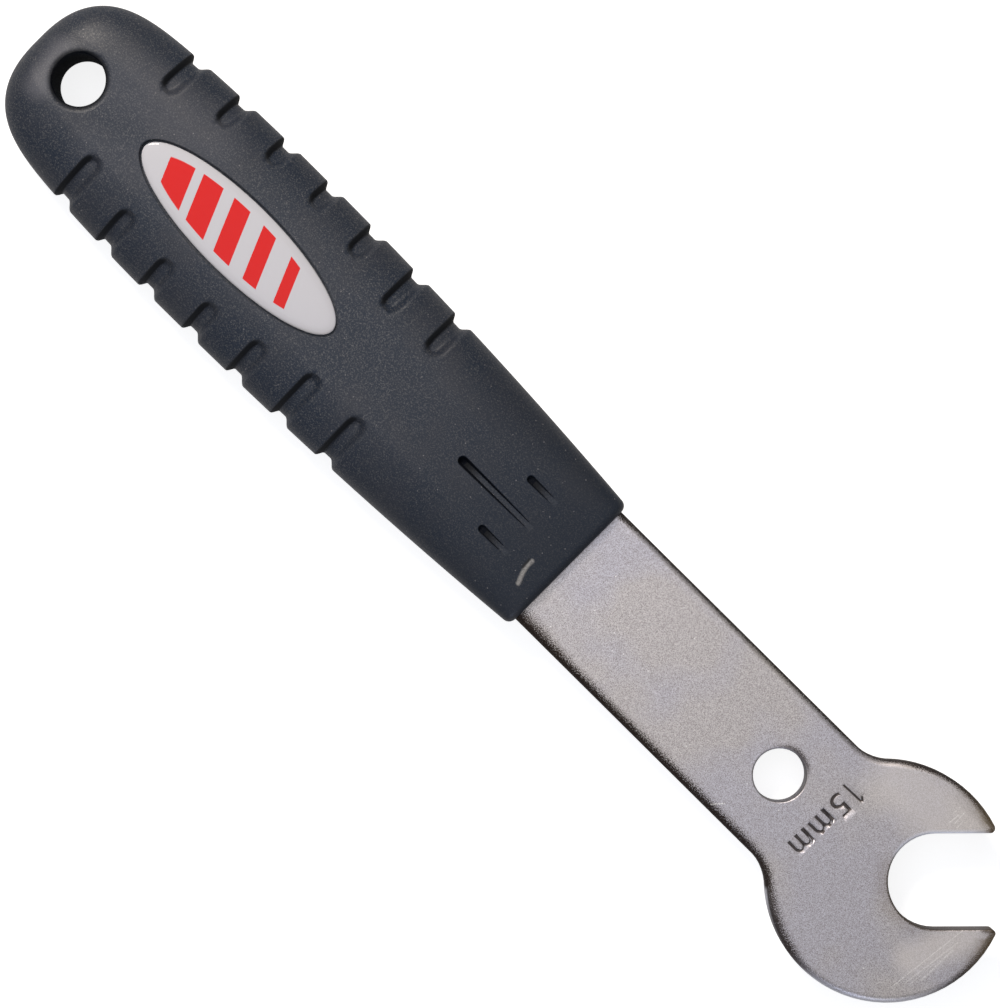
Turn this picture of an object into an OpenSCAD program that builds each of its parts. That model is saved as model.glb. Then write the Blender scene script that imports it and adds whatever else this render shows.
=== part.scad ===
// Pedal wrench: a flat steel blade with one open jaw, a moulded grip and an oval badge.
// The tool lies on the back of its grip. +X runs from the grip to the jaw.
// In the modules x = 0 is the grip's front face and z = 0 is the mid-plane of blade and grip.

/* [Jaw] */
// Gap between the flats of the jaw, for a 15 mm axle
jaw_gap = 15.3; // [10:0.1:20]
// Angle between the mouth and the length of the blade
jaw_angle = 45; // [15:1:75]
// Distance from the centre of the head to the centre of the mouth's round end
mouth_set = 7.8; // [4:0.1:12]
// Corner radius of the two jaw tips, seen from above
tip_r = 0.9; // [0.5:0.1:1.5]

/* [Blade] */
// Thickness of the steel
blade_t = 5; // [3:0.5:6]
// Width of the shank
shank_w = 24; // [18:0.5:25]
// Distance from the grip's front face to the centre of the head
reach = 71.5; // [55:0.5:110]
// Diameter of the head
head_d = 38.8; // [34:0.2:48]
// Hollow fillet radius between shank and head
fillet_r = 8; // [4:0.5:12]
// Rolled edge round the outside of the blade
rim_r = 1.2; // [0.4:0.1:1.4]
// Broken edge round the mouth and the holes
bore_rim_r = 0.3; // [0.1:0.1:0.6]
// Diameter of the hole through the shank
hole_d = 8.5; // [4:0.5:12]
// Distance of that hole behind the centre of the head
hole_back = 24.1; // [20:0.1:28]

/* [Tang] */
// Length of the blade inside the grip
tang_l = 94; // [70:1:96]
// Diameter of the holes that the moulded grip fills
key_d = 8; // [5:0.5:10]
// Distance of the first key hole behind the grip's front face
key_first = 30; // [25:1:35]
// Distance between the key holes
key_pitch = 50; // [30:1:52]
// Gap between the moulded grip and the steel in it
mould_gap = 0.05; // [0.02:0.01:0.1]

/* [Grip] */
// Length of the grip
grip_l = 119.3; // [116:0.1:150]
// Greatest width of the grip
grip_w = 33.1; // [31:0.1:40]
// Width of the grip just behind its front face
grip_front_w = 26.6; // [26:0.1:30]
// Distance of the widest place behind the front face
widest_at = 77; // [60:1:90]
// Radius of the sides from the widest place to the rounded end
rear_bow_r = 340; // [200:10:900]
// Length of the rounded end
end_l = 25.3; // [20:0.1:30]
// Thickness of the grip
grip_t = 14; // [12:0.5:20]
// Thickness of the grip at its front face
grip_front_t = 9; // [8.5:0.5:12]
// Length over which the grip thins towards the front
ramp_l = 34; // [25:1:38]
// Rounding of the front edge
nose_r = 1.2; // [0.5:0.1:1.5]

/* [Finger notches] */
// Number of notches on each side
notch_count = 7; // [1:1:7]
// Distance of the first notch behind the front face
notch_first = 39.4; // [36:0.1:42]
// Distance from notch to notch
notch_pitch = 9.79; // [6:0.01:10]
// Width of a notch at the surface
notch_w = 3.8; // [2:0.1:5]
// Depth of a notch
notch_depth = 1.15; // [0.5:0.05:1.5]
// Least distance of a notch's inner end from the middle of the grip
notch_inner = 7.4; // [6:0.1:10]
// Clear width beside the badge, up to the inner ends of the notches
badge_margin = 5.1; // [3:0.1:6]

/* [Front slots] */
// Width of the three slots near the front, at their floor
slot_w = 1; // [0.6:0.1:2]
// Lean of the slots' walls from upright, in degrees
slot_draft = 13; // [5:1:25]
// Distance of the long slot's start behind the front face
slot_long = 24.4; // [16:0.1:30]
// Distance of the short slots' start behind the front face
slot_short = 14.5; // [11:0.1:20]
// Distance behind the front face at which the slots run out
slot_runout = 8.2; // [5:0.1:10]
// Distance from the long slot to each short one
slot_spread = 5.5; // [3:0.1:8]

/* [Hanging hole] */
// Diameter of the hole through the end of the grip
hang_d = 8.5; // [4:0.5:12]
// Distance from the end of the grip to the hole's centre
hang_back = 10; // [8:0.1:12]
// Rounding of the hole's rims
hang_rim_r = 1.2; // [0.5:0.1:1.8]

/* [Badge] */
// Length of the oval badge
badge_l = 41.7; // [25:0.1:44]
// Width of the oval badge
badge_w = 11.9; // [6:0.1:14]
// Distance of the badge's centre behind the front face
badge_at = 73.6; // [65:0.1:82]
// Depth of the recess that holds the badge
recess_depth = 1.1; // [0.6:0.1:1.6]
// Gap round the badge in its recess
badge_gap = 0.4; // [0.2:0.05:0.8]
// Height of the badge's edge
badge_edge_t = 0.7; // [0.4:0.1:1]
// Rise of the badge from its edge to its middle
badge_dome = 0.5; // [0.2:0.1:0.8]

/* [Hidden] */
$fn = 96;

// Cutters run past what they cut by this much
past = 1;
// Each blend runs into what it joins by this much, so that the two fuse
blend = 0.02;

head_r = head_d / 2;
// From the middle of the whole tool to the grip's front face
front_x = (grip_l - reach - head_r) / 2;
badge_x = -badge_at;
hang_x = hang_back - grip_l;

// Powers of the curves that shape the grip: sides, rounded end and thinning front
side_power = 2.1;
end_power = 5;
end_root = 2.45;
end_side_power = 7;
end_side_root = 2;
ramp_power = 1.8;
// Squareness of the grip's section at its front face and along its middle
front_square = 5;
mid_square = 2.6;
square_l = 24;
// How far the full section would rise above the flat panels on its top and back
crown = 1.04;

// Corners of the grip's section, in degrees
section_step = 5;
// Rings of the grip: steps over the nose, along the ramp and over the rounded end
nose_steps = 4;
ramp_steps = 8;
end_steps = 11;
// Places across a notch where the grip has a ring, as shares of the half width
notch_rings = [-1, -0.66, -0.24, 0.24, 0.66, 1];

// Half a disc's profile with both rims rounded, for a revolve
module rim_profile(r, t, edge) {
    translate([0, -t / 2])
        square([r - edge, t]);
    translate([0, edge - t / 2])
        square([r, t - 2 * edge]);
    for (z = [edge - t / 2, t / 2 - edge])
        translate([r - edge, z])
            circle(edge);
}

// Profile of a cut of half width r that rounds over both rims of a plate
module flare_profile(r, t, edge) {
    difference() {
        translate([0, -t / 2 - past])
            square([r + edge - blend, t + 2 * past]);
        translate([r, edge - t / 2])
            square([edge + past, t - 2 * edge]);
        for (z = [edge - t / 2, t / 2 - edge])
            translate([r + edge, z])
                circle(edge);
    }
}

module rounded_disc(r, t, edge) {
    rotate_extrude()
        rim_profile(r, t, edge);
}

module flared_bore(r, t, edge) {
    rotate_extrude()
        flare_profile(r, t, edge);
}

// Flat bar with rounded long edges, from x = -back to x = front
module bar(w, t, edge, back, front) {
    translate([-back, 0, 0])
        rotate([90, 0, 90])
            linear_extrude(back + front)
                union() {
                    square([w - 2 * edge, t], center = true);
                    square([w, t - 2 * edge], center = true);
                    for (y = [-1, 1], z = [-1, 1])
                        translate([y * (w / 2 - edge), z * (t / 2 - edge)])
                            circle(edge);
                }
}

// Web between shank and head on the +Y side, hollowed by the fillet's cutter
module fillet_web() {
    cut_y = shank_w / 2 + fillet_r - blend;
    cut_x = reach - sqrt(pow(head_r + fillet_r - blend, 2) - cut_y * cut_y);
    difference() {
        translate([0, 0, -blade_t / 2])
            linear_extrude(blade_t)
                polygon([[cut_x, 0], [reach, 0], [cut_x, cut_y]]);
        translate([cut_x, cut_y, 0])
            flared_bore(fillet_r, blade_t, rim_r);
    }
}

// Cutter for the mouth: a round end and straight flats, along +X from the head's centre
module mouth_cut() {
    half_gap = jaw_gap / 2;
    translate([mouth_set, 0, 0]) {
        rotate([0, 0, 90])
            rotate_extrude(angle = 180)
                flare_profile(half_gap, blade_t, bore_rim_r);
        for (side = [0, 1])
            mirror([0, side, 0])
                rotate([90, 0, 90])
                    linear_extrude(head_r)
                        flare_profile(half_gap, blade_t, bore_rim_r);
    }
}

// Cutter that rounds the jaw tip on the +Y side of the mouth
module tip_cut() {
    round_y = jaw_gap / 2 + tip_r - blend;
    round_x = sqrt(pow(head_r - tip_r + blend, 2) - round_y * round_y);
    away = [round_x, round_y] * head_r / norm([round_x, round_y]);
    difference() {
        translate([0, 0, -blade_t / 2 - past])
            linear_extrude(blade_t + 2 * past)
                polygon([
                    [round_x, round_y],
                    [round_x, round_y - 2 * tip_r],
                    [round_x + 4 * tip_r, round_y - 2 * tip_r],
                    [round_x, round_y] + away
                ]);
        translate([round_x, round_y, 0])
            rounded_disc(tip_r, blade_t, bore_rim_r);
    }
}

module wrench_blade() {
    color("silver")
        translate([front_x, 0, grip_t / 2])
            difference() {
                union() {
                    bar(shank_w, blade_t, rim_r, tang_l, reach - head_r / 2);
                    translate([reach, 0, 0])
                        rounded_disc(head_r, blade_t, rim_r);
                    fillet_web();
                    mirror([0, 1, 0])
                        fillet_web();
                }
                translate([reach, 0, 0])
                    rotate([0, 0, jaw_angle]) {
                        mouth_cut();
                        tip_cut();
                        mirror([0, 1, 0])
                            tip_cut();
                    }
                translate([reach - hole_back, 0, 0])
                    flared_bore(hole_d / 2, blade_t, bore_rim_r);
                for (x = [-key_first, -key_first - key_pitch])
                    translate([x, 0, 0])
                        flared_bore(key_d / 2, blade_t, bore_rim_r);
            }
}

// Half width of the grip at x, without the rounding of its ends
function side_w(x) =
    x > -widest_at
    ? grip_w / 2 - (grip_w - grip_front_w) / 2 * pow((x + widest_at) / widest_at, side_power)
    : grip_w / 2 - pow(x + widest_at, 2) / (2 * rear_bow_r);

// Half thickness of the grip at x, without the rounding of its ends
function crown_h(x) =
    grip_t / 2 - (grip_t - grip_front_t) / 2 * pow(max(0, x + ramp_l) / ramp_l, ramp_power);

// Share of the way into the rounded end, from 0 to 1
function end_share(x) = min(1, max(0, -x - grip_l + end_l) / end_l);

// What the front edge's rounding takes off at x
function nose_cut(x) =
    let(v = min(1, max(0, x + nose_r) / nose_r))
    nose_r * (1 - sqrt(1 - v * v));

function half_w(x) = side_w(x) * pow(1 - pow(end_share(x), end_power), 1 / end_root) - nose_cut(x);
function half_h(x) = crown_h(x) * pow(1 - pow(end_share(x), end_side_power), 1 / end_side_root) - nose_cut(x);
function squareness(x) =
    mid_square + (front_square - mid_square) * pow(max(0, x + square_l) / square_l, 2);

// Nearest notch to x, and the distance of its inner end from the middle of the grip
function notch_x(x) =
    -notch_first - notch_pitch * min(notch_count - 1, max(0, round((-x - notch_first) / notch_pitch)));
function notch_end(x) =
    let(
        along = (x + badge_at) / (badge_l / 2 + 2 * badge_margin),
        beside = (badge_w / 2 + badge_margin) * sqrt(max(0, 1 - along * along))
    )
    max(notch_inner, beside);

// Depth of the nearest notch at x along the grip and y across it: an arc with a ball end
function notch_sink(x, y) =
    let(
        half = notch_w / 2,
        cutter_r = (half * half + notch_depth * notch_depth) / (2 * notch_depth),
        centre = notch_x(x),
        off = norm([x - centre, max(0, notch_end(centre) + half - abs(y))])
    )
    off < half ? sqrt(cutter_r * cutter_r - off * off) - cutter_r + notch_depth : 0;

// Point of the grip's skin at x, in the direction a round the section
function skin_point(x, a) =
    let(
        w = half_w(x),
        h = half_h(x),
        n = squareness(x),
        c = cos(a),
        s = sin(a),
        y = w * sign(c) * pow(abs(c), 2 / n),
        full_z = crown * h * sign(s) * pow(abs(s), 2 / n),
        flat = abs(full_z) > h,
        z = flat ? h * sign(s) : full_z,
        lean = flat ? 0 : sign(c) * pow(abs(c), 2 - 2 / n) / w,
        rise = flat ? sign(s) : sign(s) * pow(abs(s), 2 - 2 / n) / (crown * h),
        sink = notch_sink(x, y) / norm([lean, rise])
    )
    [x, y - lean * sink, z - rise * sink];

// Outer body of the grip: a loft over its rings, closed by a face in front and a point behind
module grip_body() {
    last_notch = notch_first + notch_pitch * (notch_count - 1) + notch_w / 2;
    rings = concat(
        [for (i = [0 : nose_steps - 1]) -nose_r * (1 - cos(90 * i / nose_steps))],
        [for (i = [0 : ramp_steps - 1])
            -nose_r - (notch_first - notch_w / 2 - nose_r) * i / ramp_steps],
        [for (k = [0 : notch_count - 1])
            for (share = notch_rings)
                -notch_first - notch_pitch * k - share * notch_w / 2],
        [for (i = [1 : end_steps - 1]) -last_notch - (grip_l - last_notch) * sin(90 * i / end_steps)]
    );
    corners = [for (a = [0 : section_step : 359]) a];
    n = len(corners);
    last = len(rings) * n;
    points = concat(
        [for (x = rings) for (a = corners) skin_point(x, a)],
        [[-grip_l, 0, 0]]
    );
    faces = concat(
        [[for (i = [0 : n - 1]) i]],
        [for (j = [0 : len(rings) - 2])
            for (i = [0 : n - 1])
                [j * n + i, j * n + n + i, j * n + n + (i + 1) % n, j * n + (i + 1) % n]],
        [for (i = [0 : n - 1]) [last - n + i, last, last - n + (i + 1) % n]]
    );
    polyhedron(points, faces, convexity = 4);
}

// What the tang and its key holes leave free inside the grip
module tang_pocket() {
    difference() {
        bar(shank_w + 2 * mould_gap, blade_t + 2 * mould_gap, rim_r, tang_l + mould_gap, past);
        for (x = [-key_first, -key_first - key_pitch])
            translate([x, 0, 0])
                cylinder(r = key_d / 2 - mould_gap, h = 2 * blade_t, center = true);
    }
}

// Half the profile of a front slot's cutter: a level floor and a drafted wall
module slot_profile(h) {
    polygon([[0, 0], [slot_w / 2, 0], [slot_w / 2 + h * tan(slot_draft), h], [0, h]]);
}

// Cutter of a front slot that starts round at x = -start and runs out towards the front
module front_slot(start) {
    floor_z = crown_h(-slot_runout);
    h = grip_t / 2 - floor_z + past;
    end_half = slot_w / 2 + (crown_h(-start) - floor_z) * tan(slot_draft);
    translate([end_half - start, 0, floor_z]) {
        rotate([0, 0, 90])
            rotate_extrude(angle = 180)
                slot_profile(h);
        for (side = [0, 1])
            mirror([0, side, 0])
                rotate([90, 0, 90])
                    linear_extrude(start)
                        slot_profile(h);
    }
}

module oval(l, w, t) {
    scale([1, w / l, 1])
        cylinder(d = l, h = t);
}

module grip() {
    color("darkslategray")
        translate([front_x, 0, grip_t / 2])
            difference() {
                grip_body();
                tang_pocket();
                front_slot(slot_long);
                for (side = [-1, 1])
                    translate([0, side * slot_spread, 0])
                        front_slot(slot_short);
                translate([hang_x, 0, 0])
                    flared_bore(hang_d / 2, 2 * half_h(hang_x), hang_rim_r);
                translate([badge_x, 0, grip_t / 2 - recess_depth])
                    oval(badge_l + 2 * badge_gap, badge_w + 2 * badge_gap, 2 * recess_depth);
            }
}

// Oval plate with a level back and a domed face
module badge() {
    dome_share = 0.6;
    dome_l = badge_l / sqrt(dome_share);
    dome_h = badge_dome / (1 - sqrt(1 - dome_share));
    color("white")
        translate([front_x + badge_x, 0, grip_t - recess_depth])
            intersection() {
                oval(badge_l, badge_w, grip_t);
                translate([0, 0, badge_edge_t + badge_dome - dome_h])
                    scale([1, badge_w / badge_l, 2 * dome_h / dome_l])
                        sphere(d = dome_l);
            }
}

wrench_blade();
grip();
badge();
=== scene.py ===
import math

import bmesh
import bpy
from bpy.props import FloatProperty, FloatVectorProperty, PointerProperty
from mathutils import Matrix, Vector


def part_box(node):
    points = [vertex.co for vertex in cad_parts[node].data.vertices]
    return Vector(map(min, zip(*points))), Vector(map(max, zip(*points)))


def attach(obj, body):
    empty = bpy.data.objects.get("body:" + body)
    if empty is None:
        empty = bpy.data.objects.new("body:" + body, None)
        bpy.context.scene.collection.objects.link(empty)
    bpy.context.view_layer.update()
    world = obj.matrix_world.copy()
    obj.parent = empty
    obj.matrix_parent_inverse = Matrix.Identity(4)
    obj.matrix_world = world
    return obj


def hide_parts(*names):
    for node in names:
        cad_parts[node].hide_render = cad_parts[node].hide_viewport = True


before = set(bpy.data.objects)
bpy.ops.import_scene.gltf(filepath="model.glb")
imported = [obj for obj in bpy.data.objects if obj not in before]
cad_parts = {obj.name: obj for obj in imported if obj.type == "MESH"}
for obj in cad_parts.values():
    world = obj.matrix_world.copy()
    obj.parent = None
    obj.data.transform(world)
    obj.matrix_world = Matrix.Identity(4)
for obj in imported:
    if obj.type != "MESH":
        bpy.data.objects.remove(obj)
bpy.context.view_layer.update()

bl_info = {
    "name": "Pedal wrench",
    "version": (1, 0, 0),
    "blender": (4, 5, 0),
    "location": "View3D > Sidebar > Pedal wrench",
    "description": "Builds the visual model of a pedal wrench round its CAD frame",
    "category": "Object",
}

GRIP_LOW, GRIP_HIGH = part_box("grip")
BADGE_LOW, BADGE_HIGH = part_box("badge")

MM = 0.001
# Points of a mesh nearer than this are merged, in millimetres
MERGE = 1e-4
# The same for the grip's skin, whose rings close up at the butt
SKIN_MERGE = 0.004
# The pieces are shaped in millimetres, from the grip's front face and the tool's mid-plane
FRONT_X = GRIP_HIGH.x
MID_Z = GRIP_HIGH.z / 2
TO_TOOL = Matrix.Scale(1 / MM, 4) @ Matrix.Translation((-FRONT_X, 0, -MID_Z))
TO_ROW = TO_TOOL.inverted()

# Outline of the blade, in millimetres
HEAD_X = 71.5
HEAD_R = 19.4
SHANK_HALF = 12.0
FILLET_R = 8.0
BLADE_TOP = 2.5
MOUTH_SET = 7.8
MOUTH_HALF = 7.65
MOUTH_TURN = math.radians(45)
HOLE_X = 47.4
HOLE_R = 4.25
TANG_L = 94.0
KEY_R = 4.0
KEY_X = (-30.0, -80.0)
MOULD_GAP = 0.05
RIM_R = 1.2
# Cross cuts that carry the blade's painted tones: their pitch, and the first along X and along Y
CUT_PITCH = 1.5
CUT_FIRST_X = 0.37
CUT_FIRST_Y = -17.89
CUTS_ACROSS = 25
# The blade's mesh has more faces than this once its size mark is cut
FEWEST_FACES = 100

# Law of the grip's skin, in millimetres
GRIP_L = (GRIP_HIGH.x - GRIP_LOW.x) / MM
GRIP_HALF = GRIP_HIGH.y / MM
GRIP_RISE = GRIP_HIGH.z / MM / 2
FRONT_HALF = 13.3
FRONT_RISE = 4.5
WIDEST_AT = 77.0
REAR_BOW_R = 340.0
END_L = 25.3
RAMP_L = 34.0
NOSE_R = 1.2
SIDE_POWER = 2.1
END_POWER = 5
END_ROOT = 2.45
END_SIDE_POWER = 7
RAMP_POWER = 1.8
FRONT_SQUARE = 5
MID_SQUARE = 2.6
SQUARE_L = 24
CROWN = 1.04
NOTCH_COUNT = 7
NOTCH_FIRST = 39.4
NOTCH_PITCH = 9.79
NOTCH_INNER = 7.4
# How far the notches' inner ends are set towards +Y
NOTCH_SKEW = 0.8
# Length beside a notch over which the grip's rings are still close
NOTCH_MARGIN = 2.6
BADGE_MARGIN = 5.1
HANG_X = 10 - GRIP_L
HANG_R = 4.25
HANG_RIM = 1.2
SLOT_RUNOUT = 8.2
SLOTS = ((0.0, 24.4), (5.5, 14.5), (-5.5, 14.5))
SLOT_DRAFT = 0.24
SLOT_LIP = 0.12

# Badge and its recess, in millimetres
BADGE_X = (BADGE_LOW.x + BADGE_HIGH.x) / 2 / MM - FRONT_X / MM
BADGE_L = (BADGE_HIGH.x - BADGE_LOW.x) / MM
BADGE_W = (BADGE_HIGH.y - BADGE_LOW.y) / MM
RECESS_DEPTH = 1.1
BADGE_GAP = 0.4
OVAL_SEGMENTS = 160


def linear(hex_code):
    """Linear RGBA colour of an sRGB hex value."""
    shares = [int(hex_code[i:i + 2], 16) / 255 for i in (1, 3, 5)]
    return (*(c / 12.92 if c <= 0.04045 else ((c + 0.055) / 1.055) ** 2.4 for c in shares), 1.0)


def colour(name, description, hex_code):
    return FloatVectorProperty(name=name, description=description, subtype="COLOR", size=4,
                               min=0, max=1, default=linear(hex_code))


def length(name, description, millimetres):
    return FloatProperty(name=name, description=description, unit="LENGTH", min=0,
                         default=millimetres * MM)


def power(name, description, watts):
    return FloatProperty(name=name, description=description, unit="POWER", min=0, default=watts)


class BladeSettings(bpy.types.PropertyGroup):
    steel: colour("Steel", "Plated steel of the flat faces", "#C4C1C7")
    warm_steel: colour("Warm steel", "Warmer drifts of the plating", "#CDC6BE")
    # The dark film on the punched edges, with painted shade along them
    film_and_shade: colour("Oxide", "Dark film along the punched edges", "#2A211C")
    tip: colour("Tips", "Brown film at the tips of the jaw", "#66532F")
    stamp_depth: length("Stamp depth", "Depth of the size mark at the feet of its figures", 0.13)
    stamp_lean: length("Stamp lean", "How much deeper the mark is at the tops of its figures", 0.18)
    # The real grain is about 0.1 mm wide; it is drawn as coarse as it needs to show
    grain: length("Grain", "Width of the grain in the plating", 0.18)


class GripSettings(bpy.types.PropertyGroup):
    plastic: colour("Plastic", "Moulded plastic of the grip", "#101C2C")
    grain_tone: colour("Grain tone", "Lighter tops of the spark-eroded grain", "#636364")
    notch_width: length("Notch width", "Width of a finger notch at the surface", 3.7)
    notch_depth: length("Notch depth", "Depth of a finger notch", 1.2)
    notch_floor_back: FloatProperty(
        name="Notch floor, butt's side", description="Share of the half width that is level floor",
        default=0.5, min=0, max=0.9)
    notch_floor_front: FloatProperty(
        name="Notch floor, front side", description="Share of the half width that is level floor",
        default=0.18, min=0, max=0.9)
    # The real grain is about 0.1 mm wide; it is drawn as coarse as it needs to show
    grain: length("Grain", "Width of the spark-eroded grain", 0.24)
    slot_floor: length("Slot width", "Width of the front slots at their floor", 1.0)


class BadgeSettings(bpy.types.PropertyGroup):
    film: colour("Film", "Printed film under the clear dome", "#D3D3D8")
    ink: colour("Ink", "Red of the printed stripes", "#E4140B")
    dome: length("Dome", "Rise of the clear dome from its edge to its middle", 0.5)
    edge: length("Edge", "Height of the badge's upright edge", 0.7)


class StageSettings(bpy.types.PropertyGroup):
    floor: colour("Floor", "Pale studio floor", "#C0C0C0")
    key: power("Key lamp", "Power of the warm lamp at the butt's side", 8.5)
    overhead: power("Overhead lamp", "Power of the wide cool lamp above", 3.1)
    ambient: FloatProperty(name="Ambient", description="Strength of the even light of the room",
                           default=0.07, min=0)
    fill: power("Fill lamp", "Power of the faint cool lamp beyond the jaw", 0.85)
    lens: FloatProperty(name="Lens", description="Focal length of the camera in millimetres",
                        default=134.0, min=1)


def add_node(tree, kind, inputs=None, **settings):
    """Add one shader node. An input given as a node or a socket is linked, and any other is set."""
    node = tree.nodes.new("ShaderNode" + kind)
    for name, value in settings.items():
        setattr(node, name, value)
    for key, value in (inputs or {}).items():
        if isinstance(value, bpy.types.Node):
            value = next(out for out in value.outputs if out.enabled)
        if isinstance(value, bpy.types.NodeSocket):
            tree.links.new(value, node.inputs[key])
        else:
            node.inputs[key].default_value = value
    return node


def new_material(name):
    """A material and its empty node tree."""
    material = bpy.data.materials.new(name)
    material.use_nodes = True
    material.node_tree.nodes.clear()
    return material, material.node_tree


def specks(tree, point, spacing_mm, size_mm, share):
    """1 in small round spots, one to a cell of spacing_mm, and only in a share of the cells."""
    cells = add_node(tree, "TexVoronoi", {"Vector": point, "Scale": 1 / (spacing_mm * MM)})
    reach = size_mm / spacing_mm
    spot = add_node(tree, "MapRange", {
        "Value": cells.outputs["Distance"], "From Min": reach, "From Max": reach / 3})
    chance = add_node(tree, "SeparateColor", {0: cells.outputs["Color"]})
    chosen = add_node(tree, "MapRange", {
        "Value": chance, "From Min": 1 - share, "From Max": 1.05 - share})
    return add_node(tree, "Math", {0: spot, 1: chosen}, operation="MULTIPLY")


def line_mask(tree, plan, start, end, width):
    """1 along a straight mark from start to end, and 0 at width from it. plan is in millimetres."""
    along = Vector((end[0] - start[0], end[1] - start[1], 0))
    from_start = add_node(tree, "VectorMath", {0: plan, 1: (*start, 0)},
                          operation="SUBTRACT")
    share = add_node(tree, "VectorMath", {0: from_start, 1: along / along.length_squared},
                     operation="DOT_PRODUCT")
    held = add_node(tree, "Clamp", {0: share.outputs["Value"]})
    nearest = add_node(tree, "VectorMath", {0: along, "Scale": held}, operation="SCALE")
    gap = add_node(tree, "VectorMath", {0: from_start, 1: nearest}, operation="DISTANCE")
    return add_node(tree, "MapRange", {
        "Value": gap.outputs["Value"], "From Min": width, "From Max": width * 0.3})


def strongest(tree, plan, lines):
    """The strongest of several marks, each with its start, end, half width and strength."""
    mask = 0.0
    for start, end, width, strength in lines:
        line = line_mask(tree, plan, start, end, width)
        line = add_node(tree, "Math", {0: line, 1: strength}, operation="MULTIPLY")
        mask = add_node(tree, "Math", {0: mask, 1: line}, operation="MAXIMUM")
    return mask


# Values painted on the blade's points: what edge_tone gives, and the painted shade in the size
# mark's recess
PAINTED = ("inset_mm", "band_dark", "band_mm", "reflection_fringe", "tip", "mark_shade")
# Mapping that turns object coordinates into millimetres from the grip's front face, seen from above
PLAN = {"Location": (-FRONT_X / MM, 0, 0), "Scale": (1 / MM, 1 / MM, 0)}
# Pale hairlines of the jaw and the shank: start, end, half width and strength
SCRATCHES = (
    ((83.8, -11.4), (85.5, 2.8), 0.11, 0.45),
    ((84.9, -9.5), (86.3, 1.0), 0.16, 0.35),
    ((86.4, -7.2), (86.6, -0.4), 0.24, 0.35),
    ((85.6, -8.8), (86.0, -4.0), 0.1, 0.3),
    ((71.9, 13.7), (72.1, 15.6), 0.13, 0.55),
    ((72.6, 14.2), (72.5, 16.6), 0.12, 0.5),
    ((73.3, 13.9), (73.3, 15.4), 0.1, 0.45),
    ((71.3, 15.2), (71.4, 16.7), 0.1, 0.4),
    ((42.9, -11.0), (44.3, -9.4), 0.15, 0.7),
)
# Worn, warmer places of the head, given in the same way
WORN = (
    ((83.0, -6.0), (86.6, 3.0), 4.0, 0.45),
    ((62.0, 13.0), (77.0, 14.5), 8.0, 0.4),
)


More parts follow.
